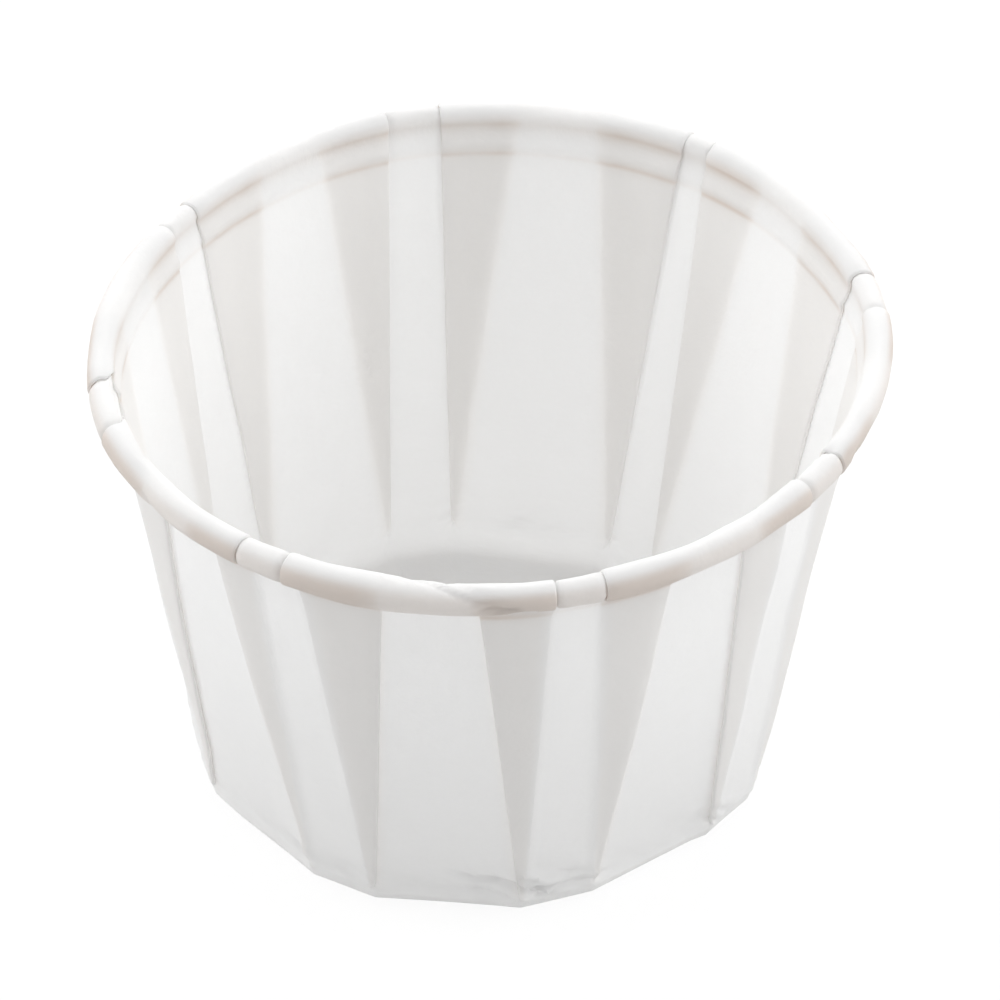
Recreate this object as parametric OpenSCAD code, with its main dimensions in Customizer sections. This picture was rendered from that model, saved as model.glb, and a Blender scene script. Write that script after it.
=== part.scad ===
// Paper souffle cup: one round blank of white paper, drawn into a cup with a
// flat base, pressed box pleats all the way up the wall and an outward rolled rim.
// Units are millimetres. The origin is the centre of the underside, with +Z up.

/* [Cup] */
// Outside diameter of the rolled rim
rim_d = 48; // [44:0.5:54]
// Diameter of the base, across the corners between its flats
base_d = 35; // [31:0.5:38]
// Overall height, from the table to the top of the roll
cup_h = 29.5; // [24:0.5:34]
// Radius of the fold between the base and the wall, at the middle of the paper
corner_r = 0.6; // [0.4:0.1:0.9]

/* [Paper] */
// Thickness of the paper
paper_t = 0.14; // [0.1:0.01:0.16]
// Air left between two layers that are pressed together
layer_gap = 0.06; // [0.05:0.01:0.08]

/* [Pleats] */
// Number of box pleats round the cup
pleat_n = 8; // [6:1:9]
// Width of a narrow outer strip just below the rim
strip_rim_w = 3.4; // [2.6:0.1:4]
// Width of a narrow outer strip at the base
strip_base_w = 4.4; // [3.4:0.1:5.2]
// Width of a wide inner panel just below the rim
panel_rim_w = 5.6; // [4.4:0.1:6.2]
// Turn of the first pleat's strip away from the front
pleat_turn = 14; // [0:1:44]

/* [Rim out of round] */
// How much wider the rim is along its long way than across it
rim_oval = 5.8; // [0:0.2:6]
// Turn of the rim's long way from the first pleat's strip
oval_turn = -45; // [-90:22.5:90]

/* [Rolled rim] */
// Outside diameter of the roll
roll_d = 1.9; // [1.6:0.1:2.2]
// Angle that the paper turns through in the roll
roll_turn = 270; // [180:10:270]
// How far the single sheet of a strip rises in the roll, towards the lands beside it
strip_rise = 0.25; // [0:0.05:0.3]
// Height of the pressed neck under the roll
neck_h = 1.4; // [1.1:0.1:2]
// Depth of the neck, outward from the inside of the wall
neck_depth = 0.14; // [0.06:0.02:0.14]
// Length of the slope at each end of the neck
neck_slope = 0.3; // [0.2:0.05:0.5]

/* [Hidden] */

// Flats round the rolled paper and round the fold at the base
roll_flats = 8;
corner_flats = 2;
// Flats up the wall between the point where the pleats close and the neck
wall_flats = 4;
// Steps in which a pleat opens out into the single sheet above the base
opening_steps = 2;
// Spacing of a pleat's fold lines where they have opened out flat
open_spacing = 0.15;
// Overlap that is left beyond the two folds where a pleat first closes
first_overlap = 0.1;
// Share of the layers' distance by which the bend of a half open pleat is spread
bend_spread = 0.8;
// Angle of the roll over which the sheet of a strip rises
rise_turn = 60;

// Distance between the middles of two pressed layers, and the radius of their fold
layer_pitch = paper_t + layer_gap;
fold_r = layer_pitch / 2;
// Least overlap of a closed pleat
closed_w = 2 * fold_r + first_overlap;
// Half of a pleat, as an angle round the cup
half_turn = 180 / pleat_n;

// The roll: radius at the middle layer, and centre as [radius, height]
roll_r = roll_d / 2 - layer_pitch - paper_t / 2;
roll_centre = [rim_d / 2 - roll_d / 2, cup_h - roll_d / 2];

// The wall is the straight line from the base corner that just touches the roll
base_corner = [base_d / 2, paper_t / 2];
to_roll = roll_centre - base_corner;
taper = atan2(to_roll[0], to_roll[1]) - asin(roll_r / norm(to_roll));
wall_len = sqrt(norm(to_roll) ^ 2 - roll_r ^ 2);
wall_way = [sin(taper), cos(taper)];

// The base corner: length that its radius takes off the wall, and its centre
corner_len = corner_r * tan((90 - taper) / 2);
corner_centre = base_corner + [-corner_len, corner_r];

// Widths along the wall, at a distance s up from the base corner
function between(low, high, s) = low + (high - low) * s / wall_len;
function wall_r(s) = base_corner[0] + wall_way[0] * s;
function half_unit(s) = wall_r(s) * PI / pleat_n;
function half_strip(s) = between(strip_base_w, strip_rim_w, s) / 2;
function half_panel(s) = between(half_unit(0) - strip_base_w / 2, panel_rim_w / 2, s);
function overlap(s) = half_unit(s) - half_strip(s) - half_panel(s);

// Distance up the wall at which the folds close
close_s = closed_w / overlap(wall_len) * wall_len;
neck_s = wall_len - neck_h;

// A station of the section through the wall is
// [point of the middle sheet as [radius, height], direction of its outer face,
//  distance up the wall that sets the pleat's widths, share to which the pleat is closed,
//  rise of a strip's sheet]
function toward(angle) = [cos(angle), sin(angle)];
function on_wall(s, out, share) =
    [base_corner + wall_way * s + toward(-taper) * out, -taper, s, share, 0];
function on_corner(angle) = [corner_centre + corner_r * toward(angle), angle, corner_len, 0, 0];
function on_roll(turn) =
    [roll_centre - roll_r * toward(-taper - turn), -taper - turn, wall_len, 1,
     strip_rise * min(turn / rise_turn, 1)];

stations = concat(
    [for (i = [0 : corner_flats - 1]) on_corner(-90 + (90 - taper) * i / corner_flats)],
    [for (i = [0 : opening_steps])
        let (share = i / opening_steps)
        on_wall(corner_len + (close_s - corner_len) * share, 0, share)],
    [for (i = [1 : wall_flats]) on_wall(close_s + (neck_s - close_s) * i / wall_flats, 0, 1)],
    [on_wall(neck_s + neck_slope, neck_depth, 1)],
    [on_wall(wall_len - neck_slope, neck_depth, 1)],
    [for (i = [0 : roll_flats]) on_roll(roll_turn * i / roll_flats)]
);

// Path of the sheet over half a pleat, as [distance round, level outward], from the
// middle of a wide panel to the middle of a narrow strip. Closed, it runs out to the
// first fold, back to the second and out again, in three layers.
function closed_path(middle, w, unit, rise) = [
    [0, -layer_pitch],
    [middle - w / 2, -layer_pitch],
    [middle + w / 2 - fold_r, -layer_pitch],
    [middle + w / 2, -layer_pitch / 2],
    [middle + w / 2 - fold_r, 0],
    [middle - w / 2 + fold_r, 0],
    [middle - w / 2, layer_pitch / 2],
    [middle - w / 2 + fold_r, layer_pitch],
    [middle + w / 2, layer_pitch],
    [unit, layer_pitch - rise]
];

// The same points on the single flat sheet
last = 9;
function open_path(middle, unit) = [
    for (i = [0 : last])
        i == 0 ? [0, 0] : i == last ? [unit, 0] : [middle + (i - last / 2) * open_spacing, 0]
];

// How far each point of the bend moves out as the bend is spread
bend_levels = [0, 0, 0, -0.4, -1, 1, 0.4, 0, 0, 0];

// Part way from open to closed. The layers part sooner than the folds draw in, and the
// bend is spread, so that the paper never runs through itself inside a tight bend.
function path_at(s, share, rise) =
    let (
        unit = half_unit(s),
        middle = (half_panel(s) + unit - half_strip(s)) / 2,
        closed = closed_path(middle, max(closed_w, overlap(s)), unit, rise),
        open = open_path(middle, unit),
        spread = bend_spread * layer_pitch * share * (1 - share)
    )
    [for (i = [0 : last])
        let (move = closed[i] - open[i])
        open[i] + [move[0] * share, move[1] * sin(90 * share) + bend_levels[i] * spread]];

// Direction square to the path at each of its points, out of the sheet's outer face
function square_to(path, i) =
    i == 0 || i == last
        ? [0, 1]
        : let (along = path[i + 1] - path[i - 1]) [-along[1], along[0]] / norm(along);

// One face of the sheet over a whole pleat: half a pleat and its mirror image
function face_path(s, share, rise, side) =
    let (
        path = path_at(s, share, rise),
        half = [for (i = [0 : last]) path[i] + square_to(path, i) * side * paper_t / 2]
    )
    concat(half, [for (i = [last - 1 : -1 : 1]) [2 * half_unit(s) - half[i][0], half[i][1]]]);

pleat_points = 2 * last;
ring_points = pleat_n * pleat_points;

// A panel's middle is drawn in to the chord at the base and stands on the round at the rim
function draw_in(s, i) =
    let (
        flat = 1 - s / wall_len,
        width = i == 0 ? half_panel(s) : half_strip(s),
        angle = width / wall_r(s) * 180 / PI
    )
    i == 0 || i == last ? 1 - flat * (1 - cos(angle)) : 1;

// The cup goes gradually out of round, from a round base to an oval rim
function stretch(turn, height) =
    1 + rim_oval / (2 * rim_d) * height / cup_h * cos(2 * (turn - pleat_turn - oval_turn));

function ring(station, side) =
    let (
        sheet = station[0],
        out = toward(station[1]),
        s = station[2],
        path = face_path(s, station[3], station[4], side)
    )
    [for (k = [0 : pleat_n - 1], i = [0 : pleat_points - 1])
        let (
            place = sheet + out * path[i][1],
            turn = pleat_turn + half_turn * (2 * k + 1) + path[i][0] / wall_r(s) * 180 / PI,
            r = place[0] * draw_in(s, i) * stretch(turn, place[1])
        )
        [r * sin(turn), -r * cos(turn), place[1]]];

// Points of one face of the sheet: the middle of the base, then ring after ring to the edge
function skin(side) =
    concat([[0, 0, base_corner[1] - side * paper_t / 2]],
        [for (station = stations) each ring(station, side)]);

skin_points = 1 + len(stations) * ring_points;
function point_at(skin_first, row, i) = skin_first + 1 + row * ring_points + i % ring_points;

// Triangles of one face, wound the other way round on the inside
function skin_faces(skin_first, flip) = [
    for (i = [0 : ring_points - 1])
        let (a = point_at(skin_first, 0, i), b = point_at(skin_first, 0, i + 1))
        flip ? [skin_first, b, a] : [skin_first, a, b],
    for (row = [0 : len(stations) - 2], i = [0 : ring_points - 1])
        let (
            a = point_at(skin_first, row, i),
            b = point_at(skin_first, row, i + 1),
            c = point_at(skin_first, row + 1, i + 1),
            d = point_at(skin_first, row + 1, i)
        )
        each flip ? [[a, b, c], [a, c, d]] : [[a, c, b], [a, d, c]]
];

// The cut edge of the blank, inside the roll
function edge_faces() = [
    for (i = [0 : ring_points - 1])
        let (
            a = point_at(0, len(stations) - 1, i),
            b = point_at(0, len(stations) - 1, i + 1),
            c = point_at(skin_points, len(stations) - 1, i + 1),
            d = point_at(skin_points, len(stations) - 1, i)
        )
        each [[a, c, b], [a, d, c]]
];

module cup() {
    color([0.96, 0.96, 0.95])
        polyhedron(
            points = concat(skin(1), skin(-1)),
            faces = concat(skin_faces(0, false), skin_faces(skin_points, true), edge_faces()),
            convexity = 12
        );
}

cup();
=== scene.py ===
# %% [markdown]
# # A pleated paper souffle cup
# The cup is one round blank of white paper. A tool presses it into a flat base and a tapered wall,
# the spare paper round the wall goes into flat box pleats, and the top edge is rolled outward.
# The cup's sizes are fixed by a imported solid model, which is loaded first. Blender makes the finer
# sheet that stands in for that solid: the same folds with true bends, small waves and paper grain.

# %% Load the fixed frame
import math
from collections import namedtuple
import bpy
import numpy as np
from mathutils import Matrix, Vector, noise


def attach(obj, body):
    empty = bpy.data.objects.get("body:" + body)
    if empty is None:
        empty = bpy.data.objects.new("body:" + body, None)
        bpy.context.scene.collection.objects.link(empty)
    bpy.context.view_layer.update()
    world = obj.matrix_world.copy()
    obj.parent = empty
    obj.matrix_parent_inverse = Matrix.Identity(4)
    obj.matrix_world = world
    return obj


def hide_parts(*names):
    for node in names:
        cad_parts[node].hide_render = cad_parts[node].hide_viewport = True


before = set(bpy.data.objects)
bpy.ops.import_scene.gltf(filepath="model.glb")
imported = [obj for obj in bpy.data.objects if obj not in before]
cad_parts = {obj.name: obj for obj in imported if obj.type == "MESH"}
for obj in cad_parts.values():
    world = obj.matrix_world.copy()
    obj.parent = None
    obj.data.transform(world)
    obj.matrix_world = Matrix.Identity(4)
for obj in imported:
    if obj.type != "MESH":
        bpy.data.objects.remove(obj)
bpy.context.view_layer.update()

# %% [markdown]
# ## Sizes
# A real cup of this kind holds about one fluid ounce and is about 48 mm across the rim. Blender works
# in metres, so each size is written in millimetres and scaled once. Turns round the cup are in
# degrees. Only the driving sizes are typed in, and what follows from them, such as the slope of the
# wall, is worked out below. As in the photograph, the base corner is rounder, the neck longer and the
# roll thinner than in the solid model.

# %% Sizes of the cup
MM = 0.001
RIM_D = 48 * MM
BASE_D = 35 * MM
CUP_H = 29.5 * MM
CORNER_R = 1.3 * MM
PAPER_T = 0.12 * MM
LAYER_GAP = 0.02 * MM
PLEATS = 8
PLEAT_STEP = 360 // PLEATS
PLEAT_TURN = 14
STRIP_RIM_W = 3.4 * MM
STRIP_BASE_W = 4.4 * MM
PANEL_RIM_W = 5.6 * MM
ROLL_D = 1.72 * MM
ROLL_TURN = 280
NECK_H = 2.7 * MM

pitch = PAPER_T + LAYER_GAP
roll_r = ROLL_D / 2 - pitch - PAPER_T / 2
roll_centre = np.array([RIM_D / 2 - ROLL_D / 2, CUP_H - ROLL_D / 2])
base_corner = np.array([BASE_D / 2, PAPER_T / 2])
to_roll = roll_centre - base_corner
taper = math.atan2(to_roll[0], to_roll[1]) - math.asin(roll_r / math.hypot(*to_roll))
wall_len = math.sqrt(to_roll @ to_roll - roll_r ** 2)
wall_way = np.array([math.sin(taper), math.cos(taper)])
print("taper", round(math.degrees(taper), 2), "degrees, wall", round(wall_len / MM, 2), "mm")

# %% [markdown]
# ## Widths up the wall
# The folds cut the wall into wide panels on the inside and narrow strips on the outside. Both get
# narrower on the way up while the wall gets longer round, and what is left over goes into the pleats,
# which grow from nothing at the base. Widths are measured round the cup, at a distance s up the wall.

# %% Widths of panels, strips and pleats
# What a pleat overlaps by, beyond its bends, where it first closes
FIRST_OVERLAP = 0.16 * MM


def wall_r(s):
    """Radius of the wall."""
    return base_corner[0] + wall_way[0] * s


def half_unit(s):
    """From the middle of a wide panel to the middle of the next narrow strip."""
    return wall_r(s) * math.pi / PLEATS


def half_strip(s):
    return (STRIP_BASE_W + (STRIP_RIM_W - STRIP_BASE_W) * s / wall_len) / 2


def half_panel(s):
    low, high = half_unit(0) - STRIP_BASE_W / 2, PANEL_RIM_W / 2
    return low + (high - low) * s / wall_len


def overlap(s):
    """Width over which the paper lies in three layers."""
    return half_unit(s) - half_strip(s) - half_panel(s)


# Width of a pleat where it first closes, and how far up the wall that is
closed_w = pitch + FIRST_OVERLAP
close_s = closed_w / overlap(wall_len) * wall_len
print("pleats close", round(close_s / MM, 2), "mm up the wall")
print("pleats end", round(overlap(wall_len) / MM, 2), "mm wide")

# %% [markdown]
# ## The profile
# Cut the cup in half and the paper shows as one line: out along the base, round a small corner, up the
# wall, through a pressed neck and round the roll. A lathe-like profile of this kind is usually drawn as
# a curve and spun. Here it is a list of stations, because each ring of the sheet needs more than its
# place: it needs the way its outer face looks, how far up the wall it counts as, and how far the
# pleats are folded there.

# %% Stations along the profile
CORNER_LEN = CORNER_R * math.tan((math.pi / 2 - taper) / 2)
corner_centre = base_corner + np.array([-CORNER_LEN, CORNER_R])
LOW_WALL = 5.0 * MM

# Rings across the flat base, as shares of its radius, and the number of rings in each other part
BASE_SHARES = (0.02, 0.35, 0.65, 0.88)
CORNER_RINGS, OPENING_RINGS, LOW_RINGS, WALL_RINGS, ROLL_RINGS = 5, 7, 10, 19, 26

# Strength of the painted shade in the crease across the base, and in the crease where the roll starts,
# from where it fades
BASE_CREASE_SHADE, ROLL_CREASE_SHADE = 0.35, 0.6

# The pressed neck: shares of its height, its offset outward in millimetres, and how strong the painted
# shade in its crease is
NECK = (
    (0.00, 0.00, 0.0),
    (0.13, 0.03, 0.1),
    (0.22, 0.06, 1.0),
    (0.31, -0.02, 0.25),
    (0.41, -0.10, 0.0),
    (0.50, 0.00, 0.0),
    (0.61, 0.10, 0.0),
    (0.72, 0.14, 0.1),
    (0.83, 0.17, 0.5),
    (0.93, 0.12, 1.0),
)

# place is (radius, height), face the direction of the outer face, s the distance up the wall, folded
# the share to which the pleats are closed, neck the offset outward, then the strength of the painted
# shade in its creases, and turn how far round the roll the ring lies. Both angles are in radians.
Ring = namedtuple("Ring", "place face s folded neck crease turn", defaults=(0, 0, 0))


def toward(angle):
    return np.array([math.cos(angle), math.sin(angle)])


def on_wall(s, folded, neck=0, crease=0):
    return Ring(base_corner + wall_way * s, -taper, s, folded, neck, crease)


def stations():
    """The rings from the middle of the base to the cut edge in the roll."""
    rings = []
    for share in BASE_SHARES:
        place = np.array([corner_centre[0] * share, base_corner[1]])
        rings.append(Ring(place, -math.pi / 2, CORNER_LEN, 0, crease=BASE_CREASE_SHADE))
    for share in np.linspace(0, 1, CORNER_RINGS, endpoint=False):
        face = -math.pi / 2 + (math.pi / 2 - taper) * share
        place = corner_centre + CORNER_R * toward(face)
        rings.append(Ring(place, face, CORNER_LEN, 0, crease=BASE_CREASE_SHADE * (1 - share)))
    for share in np.linspace(0, 1, OPENING_RINGS, endpoint=False):
        rings.append(on_wall(CORNER_LEN + (close_s - CORNER_LEN) * share, share))
    neck_s = wall_len - NECK_H
    low = np.linspace(close_s, LOW_WALL, LOW_RINGS, endpoint=False)
    high = np.linspace(LOW_WALL, neck_s, WALL_RINGS, endpoint=False)
    for s in np.concatenate([low, high]):
        rings.append(on_wall(s, 1))
    for share, offset, crease in NECK:
        rings.append(on_wall(neck_s + NECK_H * share, 1, offset * MM, crease))
    for turn in np.radians(np.linspace(0, ROLL_TURN, ROLL_RINGS)):
        face = -taper - turn
        place = roll_centre - roll_r * toward(face)
        rings.append(Ring(place, face, wall_len, 1, 0, max(ROLL_CREASE_SHADE - turn, 0), turn))
    return rings


rings = stations()
print(len(rings), "rings from the middle of the base to the cut edge in the roll")

# %% [markdown]
# ## The flat blank
# The real cup starts as a flat disc of paper, so the mesh does too. A circle is added and its edge is
# extruded and scaled outward, ring after ring, with the rings as far apart as they are along the
# profile. Working from the flat blank has a gift: its flat coordinates, kept as a UV map, later carry
# the grain of the paper through every fold, as on the real sheet.

# %% Make the flat blank
# Points over half a pleat: on the free panel, in each of three layers, in each of two bends, and on
# the free strip
FREE_PANEL, COVERED, BEND, FREE_STRIP = 7, 5, 4, 5
PLEAT_POINTS = 3 * COVERED + 2 * BEND
HALF_POINTS = FREE_PANEL + PLEAT_POINTS + FREE_STRIP
ROUND = 2 * PLEATS * HALF_POINTS


def blank_radii(rings):
    """Radius of each ring on the flat blank: its distance along the profile from the middle."""
    places = np.array([ring.place for ring in rings])
    steps = np.hypot(*np.diff(places, axis=0).T)
    return places[0][0] + np.concatenate([[0], np.cumsum(steps)])


radii = blank_radii(rings)
bpy.ops.object.select_all(action="DESELECT")
bpy.ops.mesh.primitive_circle_add(vertices=ROUND, radius=radii[0], fill_type="TRIFAN")
cup = bpy.context.object
cup.name = "folded_cup"
bpy.ops.object.mode_set(mode="EDIT")
bpy.ops.mesh.select_all(action="DESELECT")
bpy.ops.mesh.select_mode(type="EDGE")
bpy.ops.mesh.select_non_manifold(extend=False)
for near, far in zip(radii[:-1], radii[1:]):
    bpy.ops.mesh.extrude_edges_move()
    bpy.ops.transform.resize(value=(far / near, far / near, 1))
bpy.ops.object.mode_set(mode="OBJECT")
print("blank", round(2 * radii[-1] / MM, 1), "mm across,", len(cup.data.vertices), "points")

# %% [markdown]
# ## The path of the paper round one pleat
# Looked at from above, the wall is a flattened zigzag. From the middle of a wide panel the paper runs
# along the inside, turns back on itself, runs back between the layers, turns again and runs on along
# the outside to the middle of a narrow strip. So there are three layers where a dark triangle shows,
# and one layer elsewhere. The path is worked out once for half a pleat, and the other half mirrors it.

# %% Path of the paper over half a pleat that is pressed flat
# Points on a strip crowd towards its fold, and its sheet settles inward a little way from the fold
STRIP_CROWDING = 2.0
STRIP_SPACING = np.linspace(0, 1, FREE_STRIP + 1) ** STRIP_CROWDING
RISE_FROM, RISE_OVER = 0.05 * MM, 0.28 * MM


def smooth(x):
    """0 below 0, 1 above 1, and a soft step between."""
    x = np.clip(x, 0, 1)
    return x * x * (3 - 2 * x)


def closed_path(middle, w, unit, rise):
    """Places round the wall and levels outward, from the middle of a panel to that of a strip."""
    left, right, bend = middle - w / 2, middle + w / 2, pitch / 2
    turn = np.linspace(0, math.pi, BEND, endpoint=False)
    strip = (unit - right) * STRIP_SPACING
    parts = [
        (np.linspace(0, left, FREE_PANEL, endpoint=False), -pitch),
        (np.linspace(left, right - bend, COVERED, endpoint=False), -pitch),
        (right - bend + bend * np.sin(turn), -bend - bend * np.cos(turn)),
        (np.linspace(right - bend, left + bend, COVERED, endpoint=False), 0),
        (left + bend - bend * np.sin(turn), bend - bend * np.cos(turn)),
        (np.linspace(left + bend, right, COVERED, endpoint=False), pitch),
        (right + strip, pitch - rise * smooth((strip - RISE_FROM) / RISE_OVER)),
    ]
    places = np.concatenate([part[0] for part in parts])
    levels = np.concatenate([np.ones(len(part[0])) * part[1] for part in parts])
    return places, levels


print(HALF_POINTS, "points over half a pleat,", ROUND, "round the cup")

# %% [markdown]
# ## Opening out above the base
# A pleat starts as flat paper. Over the first millimetre above the corner, its points move from even
# rows on the single sheet to their places in the closed pleat. The layers part sooner than the folds
# draw in, and the bends spread, so that the paper never runs through itself inside a tight bend.

# %% Path of a pleat that is partly open
# Width of flat paper from which a pleat's points start, and how its bends crowd and spread
OPEN_W = 1.1 * MM
BEND_CROWDING = 1.3
BEND_SPREAD = 0.8 * pitch

# How far a strip's sheet settles inward, on the wall and after the first part of the roll
WALL_RISE, ROLL_RISE = 0.5 * pitch, 1.7 * pitch
RISE_TURN = math.radians(60)


def open_path(middle, unit):
    """The same points on the single flat sheet, before the pleat closes."""
    left, right = middle - OPEN_W / 2, middle + OPEN_W / 2
    return np.concatenate([
        np.linspace(0, left, FREE_PANEL, endpoint=False),
        np.linspace(left, right, PLEAT_POINTS, endpoint=False),
        right + (unit - right) * STRIP_SPACING,
    ])


def bend_shift():
    """How the bends spread while a pleat opens out: inward in the first and outward in the second."""
    rise = np.linspace(0, 1, BEND, endpoint=False) ** BEND_CROWDING
    return np.concatenate([
        np.zeros(FREE_PANEL + COVERED),
        -rise,
        np.linspace(-1, 1, COVERED, endpoint=False),
        1 - rise,
        np.zeros(COVERED + FREE_STRIP + 1),
    ])


def pleat_middle(s):
    return (half_panel(s) + half_unit(s) - half_strip(s)) / 2


def pleat_width(s):
    return max(closed_w, overlap(s))


def half_path(ring):
    """Places and levels over half a pleat, at one ring."""
    s, share = ring.s, ring.folded
    middle, unit = pleat_middle(s), half_unit(s)
    rise = WALL_RISE * share + (ROLL_RISE - WALL_RISE) * smooth(ring.turn / RISE_TURN)
    places, levels = closed_path(middle, pleat_width(s), unit, rise)
    flat = open_path(middle, unit)
    levels = levels * math.sin(math.pi / 2 * share) + bend_shift() * BEND_SPREAD * share * (1 - share)
    return flat + (places - flat) * share, levels


print("a pleat opens out to", OPEN_W / MM, "mm of flat paper")

# %% [markdown]
# ## Single and triple paper
# Later steps ask where the paper lies in three layers, since it is thicker there and takes more
# painted shade. One list answers by place round the cup, for all layers alike, and one by the point on
# the sheet. A list over half a pleat is mirrored to make a whole one.

# %% Where three layers lie
EDGE_SOFT = 0.15 * MM


def covered(s, places):
    """1 at places round half a pleat that three layers cover, whichever layer they are on."""
    inside = pleat_width(s) / 2 - np.abs(places - pleat_middle(s))
    return smooth(inside / EDGE_SOFT + 0.5)


def layer_count():
    """1 on the paper that goes into a pleat and 0 on the rest, along half a pleat."""
    return np.concatenate([np.zeros(FREE_PANEL), np.ones(PLEAT_POINTS), np.zeros(FREE_STRIP + 1)])


def whole_pleat(s, values, mirror=False):
    """A list over half a pleat made into one over a whole pleat."""
    back = values[-2:0:-1]
    return np.concatenate([values, 2 * half_unit(s) - back if mirror else back])


def by_layers(single, under):
    """A share that is 1 under three layers and the given one on a single layer."""
    return single + (1 - single) * under


print(int(layer_count().sum()), "of", HALF_POINTS, "points go into the pleat")

# %% [markdown]
# ## Fold lines off their even places
# No two pleats of a pressed cup are quite alike. In the photograph the fold lines stand up to ten
# degrees off their even places, the cup is out of round, and its rim leans and tilts a little. These
# faults are what makes it look real, so each is a value of its own, judged from the photograph. Each
# fold line keeps one offset at the rim and one at the base and runs straight between them, and all
# layers at a place move together, so that none runs through the next.

# %% Fold lines and outline of the photographed cup
# Degrees off the even place, for each strip, named by its even place round the cup: at the rim the
# strip's two edges, then the two edges of the wide panel after it, and at the base the strip's two
# edges, which are the panels' edges too
OFF_AT_RIM = {
    14: (0.0, -1.5, -0.5, -1.1),
    59: (-0.8, 0.0, 0.5, 1.0),
    104: (1.8, 2.3, 6.8, 3.8),
    149: (3.4, -0.9, 1.1, -0.7),
    194: (-0.3, -0.4, 0.5, -1.1),
    239: (3.1, 2.0, 1.0, 1.0),
    284: (3.0, 6.0, 9.5, 5.9),
    329: (2.5, 0.9, 2.1, 0.7),
}
OFF_AT_BASE = {
    14: (2.0, 2.2),
    59: (1.8, 0.0),
    104: (0.5, 2.3),
    149: (3.0, -0.9),
    194: (1.4, 0.5),
    239: (-1.0, 0.4),
    284: (1.0, 7.0),
    329: (6.0, 4.5),
}

# The rim is out of round, as shares of its radius: along the view, and at 45 degrees to it
OVAL_ALONG, OVAL_SLANT = 0.0344, -0.0493

# What is left of the cup's shape beside its oval, in millimetres outward at places round it
RIM_OUT = ((100, 0.0), (124, -0.5), (148, 0.0), (170, 0.15), (198, 0.45), (220, 0.1), (240, 0.0))
BASE_OUT = (
    (-80, 0.0), (-55, 0.5), (-40, 0.45), (-21, 0.5), (9, 0.05), (23, -0.45), (50, -0.65), (70, 0.0),
)

# The rim leans to the left of the base, and its front left is a little higher than its back right
LEAN = -0.389 * MM
TILT_X, TILT_Y = -0.248 * MM / (RIM_D / 2), -0.201 * MM / (RIM_D / 2)


def off_oval(turn, height):
    """How far the cup stands outside its oval, at each place round it and share of its height."""
    rim, base = [np.interp(turn, *zip(*table), period=360) for table in (RIM_OUT, BASE_OUT)]
    return (base + (rim - base) * height) * MM


def wander(turn, s):
    """Degrees by which the fold lines near each place stand off their even places."""
    share = min(max(s / wall_len, 0), 1)
    strip, panel = np.degrees([half_strip(s) / wall_r(s), half_panel(s) / wall_r(s)])
    places, offs = [], []
    for at, at_rim in sorted(OFF_AT_RIM.items()):
        low, high = OFF_AT_BASE[at]
        after = OFF_AT_BASE[(at + PLEAT_STEP) % 360][0]
        panel_at = at + PLEAT_STEP / 2
        places += [at - strip, at + strip, panel_at - panel, panel_at + panel]
        offs += [base + (rim - base) * share for base, rim in zip((low, high, high, after), at_rim)]
    return np.interp(turn, places, offs, period=360)


print(len(OFF_AT_RIM), "strips with their own places")

# %% [markdown]
# ## Waves and crumples in the wall
# Pressed paper is never quite flat. Long faint waves and smaller dents run through the wall, and just
# above the base, where the single sheet starts to gather, it crumples a little. Blender's soft noise
# makes them all, read off the round of the rim so that it meets itself after a full turn.

# %% Waves and crumples
# The depth of the waves, then for the long ones and the small dents a strength and a noise, which is
# given by the size of its lumps in millimetres and a seed, and how far up the wall, as a share of
# it, both reach full depth
WAVE = 0.075 * MM
LONG_WAVE, LONG_NOISE = 2.0, (11, 3.0)
SHORT_WAVE, SHORT_NOISE = 0.9, (4.5, 40.0)
WAVE_FULL_AT = 1 / 6

# Crumples: how far up the wall they centre, their depth and reach all round the cup in millimetres,
# and their slant in degrees for each millimetre up
CRUMPLE_AT = 2.0 * MM
CRUMPLE_DEPTH, CRUMPLE_REACH = 0.14, 1.3
CRUMPLE_SLANT = 5.0
CRUMPLE_NOISE = (1.15, 80.0)

# Deeper crumples: place and half width in degrees, depth and reach up the wall in millimetres
CRUMPLED = (
    (10, 13, 0.70, 1.9),
    (52, 9, 0.35, 1.6),
    (-28, 8, 0.30, 1.5),
    (178, 14, 0.25, 2.0),
    (250, 10, 0.25, 1.8),
)


def uneven(turn, height, scale, seed):
    """Soft noise on the wall, from -1 to 1, with lumps of about the given size in millimetres."""
    size = scale * MM
    return np.array([
        noise.noise(Vector((
            RIM_D / 2 * math.sin(a) / size,
            RIM_D / 2 * math.cos(a) / size,
            height / size + seed,
        )))
        for a in np.radians(turn)
    ])


def degrees_from(at, turn):
    """Degrees from one place round the cup to others, from -180 to 180."""
    return (turn - at + 180) % 360 - 180


def wave(turn, s):
    """How far the wall stands off its even place: long faint waves and smaller dents."""
    up = min(s / wall_len / WAVE_FULL_AT, 1)
    long_waves = LONG_WAVE * uneven(turn, s, *LONG_NOISE)
    dents = SHORT_WAVE * uneven(turn, s, *SHORT_NOISE)
    return WAVE * up * (long_waves + dents)


def crumple(turn, s):
    """Small slanted dents just above the base, where the single sheet starts to gather."""
    height = (s - CRUMPLE_AT) / MM
    depth = CRUMPLE_DEPTH * math.exp(-(height / CRUMPLE_REACH) ** 2)
    for at, half, deep, reach in CRUMPLED:
        away = degrees_from(at, turn) / half
        depth = depth + deep * np.exp(-away * away - (height / reach) ** 2)
    dents = uneven(turn + CRUMPLE_SLANT * height, s, *CRUMPLE_NOISE)
    return depth * MM * dents * float(smooth((s - CORNER_LEN) / MM))


print(len(CRUMPLED), "crumpled spots above the base")

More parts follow.
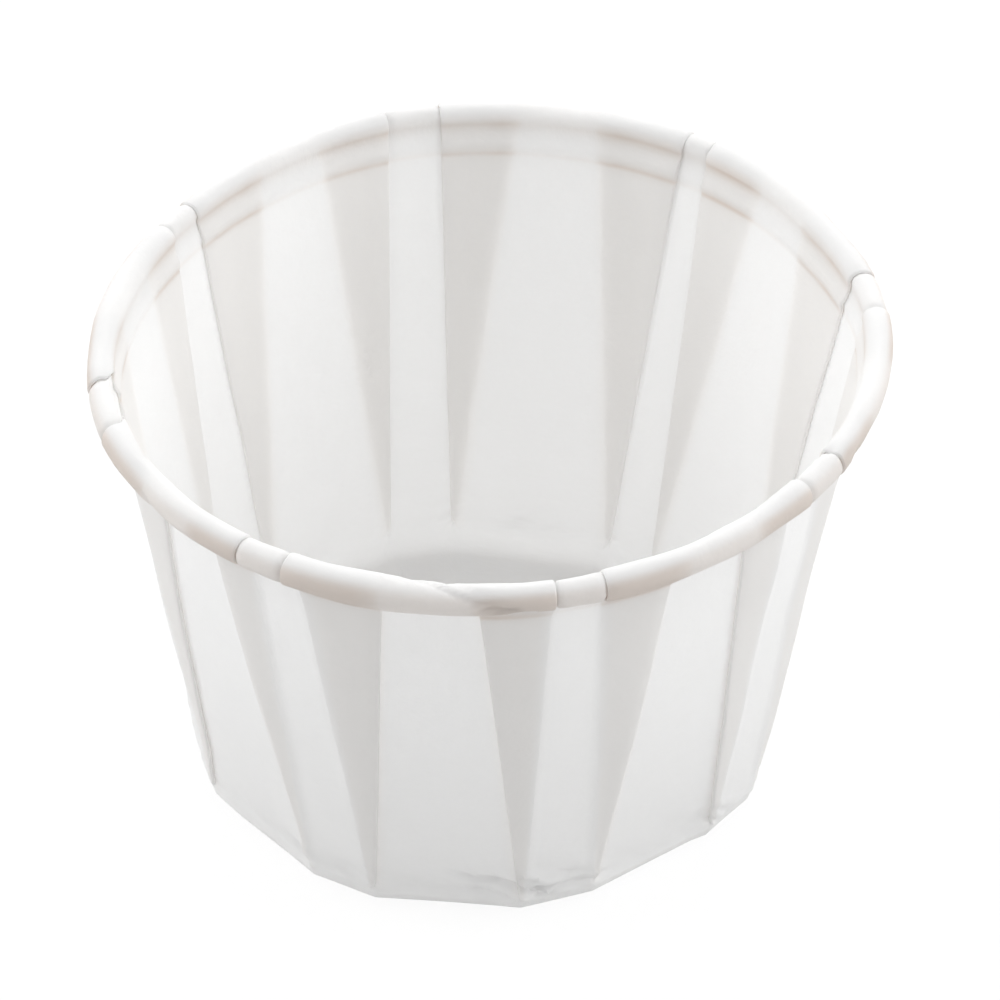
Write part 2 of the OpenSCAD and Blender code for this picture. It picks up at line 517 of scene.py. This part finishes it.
# %% [markdown]
# ## Lumps and nicks in the roll
# The rolled rim is a little lumpy, with fine wrinkles that run along it and a few nicks across it. The
# folds of the strip at the far left run askew over the roll, as they do in the photograph. How far
# round the roll something lies is in radians, from 0 where the wall meets it.

# %% Faults of the roll
# Height and noise of the lumps and of the wrinkles, the share of a turn that the wrinkles' noise is
# read over, so that they run along the roll, and over what part of the roll both set in
LUMP_HEIGHT, LUMP_NOISE = 0.09 * MM, (3.2, 120.0)
WRINKLE_HEIGHT, WRINKLE_NOISE = 0.035 * MM, (0.45, 160.0)
WRINKLE_STRETCH = 0.25
LUMPS_OVER = 0.5

# Places of the nicks round the cup, in degrees, and their slants. A nick crosses its place in the
# middle given below, round the roll
NICKS = ((-7.0, 3.0), (-3.0, 2.0), (63.0, 1.5), (200.0, -1.0), (305.0, 1.8))
NICK_DEPTH, NICK_WIDTH = 0.18 * MM, 0.38 * MM
NICK_MIDDLE = 1.2

# Where the folds run askew and how wide that spot is, by how many degrees, and over what turn it grows
SKEW_AT, SKEW_HALF, SKEW, SKEW_OVER = 288, 14, 3.5, 1.2


def roll_lumps(turn, along):
    """How far the roll stands out from its even round: soft lumps, fine wrinkles along it and nicks."""
    lumps = LUMP_HEIGHT * uneven(turn, along * roll_r, *LUMP_NOISE)
    wrinkles = WRINKLE_HEIGHT * uneven(turn * WRINKLE_STRETCH, along * roll_r, *WRINKLE_NOISE)
    nicks = np.zeros(len(turn))
    for at, slant in NICKS:
        away = np.radians(degrees_from(at, turn)) * RIM_D / 2
        across = (away - slant * (along - NICK_MIDDLE) * roll_r) / NICK_WIDTH
        nicks -= NICK_DEPTH * np.exp(-across * across)
    return (lumps + wrinkles + nicks) * float(smooth(along / LUMPS_OVER))


def skew(turn, along):
    """Degrees by which the folds run askew over the roll."""
    away = degrees_from(SKEW_AT, turn) / SKEW_HALF
    return SKEW * smooth(along / SKEW_OVER) * np.exp(-away * away)


print(len(NICKS), "nicks in the roll")

# %% [markdown]
# ## One ring of the folded cup
# A ring starts as places round the wall and levels outward. The faults shift both, the ring's place and
# face carry them into the section of the cup, and the oval, the lean and the tilt come last. Panels
# and strips are flat across at the base and follow the round of the rim at the top. Beside each place
# the ring notes how much painted shade the paper takes there, in creases and under the roll, which
# darkens its colour later.

# %% Place one ring
# Shares that a single layer takes of the neck's offset, of the painted shade in a crease and of the
# painted shade under the roll
NECK_AT_SINGLE, CREASE_SHADE_AT_SINGLE, LOW_SIDE_SHADE_AT_SINGLE = 0.6, 0.28, 0.5

# Where round the roll its underside and its painted shade start, and over what turn, in radians
LOW_SIDE_SHADE_FROM, LOW_SIDE_SHADE_OVER = 1.85, 0.7

# The painted shade in creases comes and goes along their line: its mean, how far it varies, and the
# noise that does it
CREASE_SHADE_MEAN, CREASE_SHADE_VARY, CREASE_SHADE_NOISE = 0.85, 0.7, (2.5, 200.0)


def draw_in(s, local):
    """Shares of the radius by which panels and strips draw in from the round to flats."""
    flat, unit = 1 - min(s / wall_len, 1), half_unit(s) / wall_r(s)
    draw = np.ones(len(local))
    for width, middle in ((half_panel(s), 0), (half_strip(s), unit), (half_panel(s), 2 * unit)):
        edge = width / wall_r(s)
        draw -= flat * (1 - math.cos(edge) / np.cos(np.minimum(np.abs(local - middle), edge)))
    return draw


def painted_shade_at(ring, turn, under):
    """Painted shade: how much darker and browner the paper is made in creases and on the underside of
    the roll.
    """
    crease = ring.crease * by_layers(CREASE_SHADE_AT_SINGLE, under)
    crease = crease * (CREASE_SHADE_MEAN + CREASE_SHADE_VARY * uneven(turn, 0, *CREASE_SHADE_NOISE))
    # painted shade on the underside of the roll, where it lies in its own shade
    low_side_shade = smooth((ring.turn - LOW_SIDE_SHADE_FROM) / LOW_SIDE_SHADE_OVER)
    return crease + low_side_shade * by_layers(LOW_SIDE_SHADE_AT_SINGLE, under)


def place_ring(ring):
    """Places of one ring of the folded cup, in metres, and its painted shade, in order round the cup."""
    s = ring.s
    half, levels = half_path(ring)
    under = np.tile(whole_pleat(s, covered(s, half) * ring.folded), PLEATS)
    local = whole_pleat(s, half, mirror=True) / wall_r(s)
    turn = np.concatenate([
        PLEAT_TURN + (2 * k + 1) * PLEAT_STEP / 2 + np.degrees(local) for k in range(PLEATS)
    ])
    turn = turn + wander(turn % 360, s)
    out = np.tile(whole_pleat(s, levels), PLEATS) + ring.neck * by_layers(NECK_AT_SINGLE, under)
    if ring.turn > 0:
        turn = turn + skew(turn, ring.turn)
    if s > CORNER_LEN:
        out = out + wave(turn, s) + crumple(turn, s)
    if ring.turn > 0:
        # the sheet's outer face looks into the roll, so what stands out of the roll is taken off
        out = out - roll_lumps(turn, ring.turn)
    r = (ring.place[0] + math.cos(ring.face) * out) * np.tile(draw_in(s, local), PLEATS)
    z = ring.place[1] + math.sin(ring.face) * out
    t, height = np.radians(turn), np.clip(z / CUP_H, 0, 1)
    r = r * (1 + height * (OVAL_ALONG * np.cos(2 * t) + OVAL_SLANT * np.sin(2 * t)))
    r = r + off_oval(turn, height) * min(ring.place[0] / base_corner[0], 1)
    x, y = r * np.sin(t), -r * np.cos(t)
    z = z + height * (TILT_X * x + TILT_Y * y)
    return np.stack([x + LEAN * height, y, z, painted_shade_at(ring, turn, under)], axis=1)


print("the top ring's first point is at", (place_ring(rings[-1])[0][:3] / MM).round(2), "mm")

# %% [markdown]
# ## Folding the sheet
# Each point of the blank knows its ring from its distance to the middle and its place round from its
# angle, so one pass can carry every point from the flat blank to its folded place. Moving points in
# code is used because no single tool folds a pleat that grows as it climbs. The flat places are kept as
# a UV map, and the layers and the painted shade as attributes.

# %% Fold the blank into the cup
def fold(cup, rings, radii):
    """Moves every point of the flat blank to its folded place."""
    mesh = cup.data
    flat = np.zeros(len(mesh.vertices) * 3)
    mesh.vertices.foreach_get("co", flat)
    flat = flat.reshape(-1, 3)
    distance = np.hypot(flat[:, 0], flat[:, 1])
    row = np.abs(distance[:, None] - radii[None, :]).argmin(axis=1)
    spoke = np.round(np.arctan2(flat[:, 1], flat[:, 0]) / (2 * math.pi) * ROUND).astype(int) % ROUND
    middle = distance < radii[0] / 2
    placed = np.array([place_ring(ring) for ring in rings])[row, spoke]
    placed[middle] = (0, 0, base_corner[1], 0)
    # the fourth column is the painted shade in creases and under the roll
    folded, painted_shade = placed[:, :3], placed[:, 3]
    layers = np.tile(whole_pleat(0, layer_count()), PLEATS)[spoke]
    closed = np.array([0 if ring.turn > 0 else ring.folded for ring in rings])[row]
    mesh.vertices.foreach_set("co", folded.ravel())
    for name, values in {"layers": layers * closed * (~middle), "painted_shade": painted_shade}.items():
        mesh.attributes.new(name, "FLOAT", "POINT").data.foreach_set("value", values)
    uv = mesh.uv_layers.new(name="blank")
    corner = np.zeros(len(mesh.loops), dtype=int)
    mesh.loops.foreach_get("vertex_index", corner)
    uv.data.foreach_set("uv", (flat[corner, :2] / (2 * radii[-1]) + 0.5).ravel())
    mesh.update()
    return folded


folded = fold(cup, rings, radii)
print("folded cup reaches", (folded.max(axis=0) / MM).round(2), "mm")

# %% [markdown]
# ## Thickness
# A single surface has no thickness, and light shines through it in a way that paper can't. Solidify
# gives the sheet its real thickness, half to each side, and closes the cut edge inside the roll.

# %% Give the paper its thickness
SMOOTH_BELOW = math.radians(50)


def finish_mesh(piece):
    bpy.ops.object.select_all(action="DESELECT")
    bpy.context.view_layer.objects.active = piece
    piece.select_set(True)
    solid = piece.modifiers.new("thickness", "SOLIDIFY")
    solid.thickness = PAPER_T
    solid.offset = 0
    bpy.ops.object.modifier_apply(modifier="thickness")
    bpy.ops.object.mode_set(mode="EDIT")
    bpy.ops.mesh.select_all(action="SELECT")
    bpy.ops.mesh.normals_make_consistent(inside=False)
    bpy.ops.object.mode_set(mode="OBJECT")
    bpy.ops.object.shade_smooth_by_angle(angle=SMOOTH_BELOW)


finish_mesh(cup)
print(len(cup.data.polygons), "faces with thickness")

# %% [markdown]
# ## Shader maths as plain expressions
# A material is a net of nodes. Written out by hand it soon hides its own sums, so one small class
# wraps a node's output and lets Python's own operators add the Math nodes.

# %% A helper for shader maths
class Wire:
    """One output of a node. Sums on wires add Math nodes."""

    def __init__(self, tree, socket):
        self.tree, self.socket = tree, socket

    @staticmethod
    def node(tree, kind, settings=None, output=0, **sockets):
        """Adds a node, sets its settings, then its sockets, and returns one of its outputs."""
        made = tree.nodes.new(kind)
        for name, value in (settings or {}).items():
            setattr(made, name, value)
        for name, value in sockets.items():
            key = int(name[1:]) if name[0] == "i" and name[1:].isdigit() else name.replace("_", " ")
            target = made.inputs[key]
            if isinstance(value, Wire):
                tree.links.new(value.socket, target)
            else:
                target.default_value = value
        return Wire(tree, made.outputs[output])

    def maths(self, operation, first, second):
        return Wire.node(self.tree, "ShaderNodeMath", {"operation": operation}, i0=first, i1=second)

    def __add__(self, other):
        return self.maths("ADD", self, other)

    def __sub__(self, other):
        return self.maths("SUBTRACT", self, other)

    def __rsub__(self, other):
        return self.maths("SUBTRACT", other, self)

    def __mul__(self, other):
        return self.maths("MULTIPLY", self, other)

    __radd__ = __add__
    __rmul__ = __mul__


def new_material(name):
    """A material with an empty tree, and its output node."""
    made = bpy.data.materials.new(name)
    made.use_nodes = True
    made.node_tree.nodes.clear()
    return made, made.node_tree, made.node_tree.nodes.new("ShaderNodeOutputMaterial")


def mix_colour(tree, factor, first, second):
    return Wire.node(
        tree, "ShaderNodeMix", {"data_type": "RGBA"}, output=2, i0=factor, i6=first, i7=second,
    )


print("wires take sums, differences and products")

# %% [markdown]
# ## White uncoated paper
# Soft paper is matt and not quite even: short fibres give a fine grain, and the pulp lies in faint
# clouds. It also lets some light through, so one layer glows where light falls on its far side, and
# three layers look darker and a little warmer. The glow is a Translucent shader mixed into the matt
# one. Painted shade comes on top: the triangles of three layers take a slightly darker, warmer colour
# from the layer attribute, and creases and the underside of the roll a painted brownish shade from
# theirs.

# %% The paper finish
PAPER = (0.975, 0.975, 0.974, 1)
PAPER_CLOUD = (0.938, 0.938, 0.936, 1)
# Painted shade: the slightly darker, warmer colour where three layers lie
PAPER_TRIPLE_SHADE = (0.972, 0.962, 0.951, 1)
# Painted shade: the brownish colour of creases and of the roll's underside
PAPER_PAINTED_SHADE = (0.800, 0.700, 0.620, 1)
# How far the two painted shades are mixed in
TRIPLE_SHADE_SHARE, PAINTED_SHADE_SHARE = 0.8, 0.7
GLOW = 0.36
SPECULAR = 0.35

# Noise per millimetre of the flat blank, and the parts that it plays in colour, height and roughness
BLANK_MM = 2 * radii[-1] / MM
CLOUD_SCALE, CLOUD_DETAIL = 0.9, 2.0
GRAIN_SCALE, GRAIN_DETAIL = 4.5, 1.0
NOISE_ROUGHNESS = 0.6
CLOUD_TINT, GRAIN_TINT, TINT_OFF = 0.6, 0.5, 0.05
CLOUD_HEIGHT, GRAIN_HEIGHT = 1.2, 0.6
BUMP_STRENGTH, BUMP_HEIGHT = 0.45, 0.04 * MM
ROUGHNESS, GRAIN_ROUGHNESS = 0.62, 0.15


def pulp(tree, flat, scale, detail):
    """Noise that lies in the flat sheet."""
    return Wire.node(
        tree, "ShaderNodeTexNoise", {"noise_dimensions": "2D"},
        Vector=flat, Scale=scale, Detail=detail, Roughness=NOISE_ROUGHNESS,
    )


def paper():
    made, tree, out = new_material("white_paper")
    uv = Wire.node(tree, "ShaderNodeUVMap", {"uv_map": "blank"})
    flat = Wire.node(tree, "ShaderNodeMapping", Vector=uv, Scale=(BLANK_MM, BLANK_MM, 1))
    cloud = pulp(tree, flat, CLOUD_SCALE, CLOUD_DETAIL)
    grain = pulp(tree, flat, GRAIN_SCALE, GRAIN_DETAIL)
    layered = Wire.node(tree, "ShaderNodeAttribute", {"attribute_name": "layers"}, output=2)
    # the painted shade in creases and under the roll
    painted_shade_mask = Wire.node(tree, "ShaderNodeAttribute", {"attribute_name": "painted_shade"}, output=2)
    tint = cloud * CLOUD_TINT + grain * GRAIN_TINT - TINT_OFF
    mottled = mix_colour(tree, tint, PAPER, PAPER_CLOUD)
    # painted shade where three layers lie
    triple_shaded_colour = mix_colour(tree, layered * TRIPLE_SHADE_SHARE, mottled, PAPER_TRIPLE_SHADE)
    # painted shade in creases and under the roll
    colour = mix_colour(tree, painted_shade_mask * PAINTED_SHADE_SHARE, triple_shaded_colour, PAPER_PAINTED_SHADE)
    height = grain * GRAIN_HEIGHT + cloud * CLOUD_HEIGHT
    bump = Wire.node(
        tree, "ShaderNodeBump", Strength=BUMP_STRENGTH, Distance=BUMP_HEIGHT, Height=height,
    )
    matt = Wire.node(
        tree, "ShaderNodeBsdfPrincipled", Base_Color=colour, Normal=bump,
        Roughness=grain * GRAIN_ROUGHNESS + ROUGHNESS, Specular_IOR_Level=SPECULAR,
    )
    glow = Wire.node(tree, "ShaderNodeBsdfTranslucent", Color=PAPER, Normal=bump)
    both = Wire.node(tree, "ShaderNodeMixShader", i0=GLOW, i1=matt, i2=glow)
    tree.links.new(both.socket, out.inputs["Surface"])
    return made


cup.data.materials.clear()
cup.data.materials.append(paper())
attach(cup, "root")
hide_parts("cup")
print("paper finish on", cup.name)

# %% [markdown]
# ## Floor
# The cup stands on a plain pale floor. The camera sees the floor nearly white, and part of its colour
# still comes from the light that reaches it, so the cup's shadow stays.

# %% The floor
FLOOR_SIZE = 3.0
FLOOR_COLOUR = (0.70, 0.70, 0.70, 1)
WHITE = (1, 1, 1, 1)
WHITE_SHARE = 0.82
WHITE_STRENGTH = 1.09

bpy.ops.mesh.primitive_plane_add(size=FLOOR_SIZE, location=(0, 0, 0))
floor = bpy.context.object
floor.name = "floor"


def seen_directly(tree):
    """1 for rays from the camera, a mirror or glass, and 0 for the rays that light things.

    Light that glows through paper is a transmission ray too, but a diffuse one, and stays out.
    """
    camera, glossy, through, diffuse = [
        Wire.node(tree, "ShaderNodeLightPath", output=name)
        for name in ("Is Camera Ray", "Is Glossy Ray", "Is Transmission Ray", "Is Diffuse Ray")
    ]
    return camera + glossy + through * (1 - diffuse)


def floor_finish():
    made, tree, out = new_material("pale_floor")
    lit = Wire.node(tree, "ShaderNodeBsdfDiffuse", Color=FLOOR_COLOUR)
    plain = Wire.node(tree, "ShaderNodeEmission", Color=WHITE, Strength=WHITE_STRENGTH)
    seen = seen_directly(tree) * WHITE_SHARE
    shown = Wire.node(tree, "ShaderNodeMixShader", i0=seen, i1=lit, i2=plain)
    tree.links.new(shown.socket, out.inputs["Surface"])
    return made


floor.data.materials.append(floor_finish())
print("floor", FLOOR_SIZE, "m wide")

# %% [markdown]
# ## The world
# The photograph was lit as in a white tent, with soft light from everywhere. A pale world gives this
# even light. The camera sees the world white, as it sees the floor.

# %% The world
WORLD_STRENGTH = 0.61

bpy.context.scene.world = bpy.data.worlds.new("white_tent")
bpy.context.scene.world.use_nodes = True
world_tree = bpy.context.scene.world.node_tree
world_tree.nodes.clear()
seen = Wire.node(world_tree, "ShaderNodeBackground", Color=WHITE, Strength=1.0)
lights = Wire.node(world_tree, "ShaderNodeBackground", Color=WHITE, Strength=WORLD_STRENGTH)
tent = Wire.node(world_tree, "ShaderNodeMixShader", i0=seen_directly(world_tree), i1=lights, i2=seen)
world_out = world_tree.nodes.new("ShaderNodeOutputWorld")
world_tree.links.new(tent.socket, world_out.inputs["Surface"])
print("world of strength", WORLD_STRENGTH)

# %% [markdown]
# ## Lamps
# In the photograph the light is a little stronger from both sides and from behind, where it shines over
# the far rim onto the inside of the near wall. Three broad lamps give that, and a weak one stands above.

# %% Four softboxes
AIM_HEIGHT = 15 * MM

# Name, place in metres, width in metres and power in watts
SOFTBOXES = (
    ("top_softbox", (0.0, 0.30, 0.75), 0.8, 0.57),
    ("left_softbox", (-0.60, 0.08, 0.34), 0.5, 1.85),
    ("right_softbox", (0.60, 0.08, 0.34), 0.5, 1.92),
    ("back_softbox", (0.0, 0.60, 0.40), 0.5, 2.15),
)


def softbox(name, place, size, power):
    """A square lamp that looks at the middle of the cup."""
    bpy.ops.object.light_add(type="AREA")
    lamp = bpy.context.object
    lamp.name = name
    lamp.data.shape = "SQUARE"
    lamp.data.size = size
    lamp.data.energy = power
    lamp.location = place
    way = np.array([0, 0, AIM_HEIGHT]) - np.array(place)
    lamp.rotation_euler = (
        math.atan2(math.hypot(way[0], way[1]), -way[2]), 0, math.atan2(-way[0], way[1]),
    )


for name, place, size, power in SOFTBOXES:
    softbox(name, place, size, power)
print(len(SOFTBOXES), "softboxes")

# %% [markdown]
# ## Bounces
# White paper passes most of its light on, from wall to wall and from layer to layer. Cutting the paths
# short would leave the folds too dark, so the light may bounce more often than Blender's default.

# %% Longer light paths
PAPER_BOUNCES, MOST_BOUNCES = 18, 24

cycles = bpy.context.scene.cycles
cycles.diffuse_bounces = PAPER_BOUNCES
cycles.transmission_bounces = PAPER_BOUNCES
cycles.max_bounces = MOST_BOUNCES
print("up to", cycles.max_bounces, "bounces")

# %% [markdown]
# ## Camera
# At the model's size the photograph was taken from a third of a metre away, looking down at 38 degrees
# through a long lens. The camera's own three directions are written as a matrix, which also holds its
# small roll.

# %% The camera
ELEVATION = 37.74
ROLL = 2.41
DISTANCE = 322.2 * MM
AIM_X, AIM_Z = 0.405 * MM, 17.24 * MM
CLIP_START = 10 * MM

# The focal length and the width of the picture in pixels of the photograph
FOCAL_PX = 5431
PICTURE_PX = 1000
SENSOR_MM = 36


def place_camera():
    tilt, roll = math.radians(ELEVATION), math.radians(ROLL)
    ahead = np.array([0, math.cos(tilt), -math.sin(tilt)])
    up = np.array([0, math.sin(tilt), math.cos(tilt)])
    side = np.array([1.0, 0, 0])
    right = math.cos(roll) * side + math.sin(roll) * up
    above = math.cos(roll) * up - math.sin(roll) * side
    place = np.array([AIM_X, 0, AIM_Z]) - ahead * DISTANCE
    bpy.ops.object.camera_add()
    camera = bpy.context.object
    camera.name = "photo_camera"
    camera.data.sensor_width = SENSOR_MM
    camera.data.lens = FOCAL_PX * SENSOR_MM / PICTURE_PX
    camera.data.clip_start = CLIP_START
    camera.matrix_world = Matrix([
        [right[0], above[0], -ahead[0], place[0]],
        [right[1], above[1], -ahead[1], place[1]],
        [right[2], above[2], -ahead[2], place[2]],
        [0, 0, 0, 1],
    ])
    return camera


bpy.context.scene.camera = place_camera()
bpy.context.scene.view_settings.view_transform = "Standard"
print("lens", round(bpy.context.scene.camera.data.lens, 1), "mm")
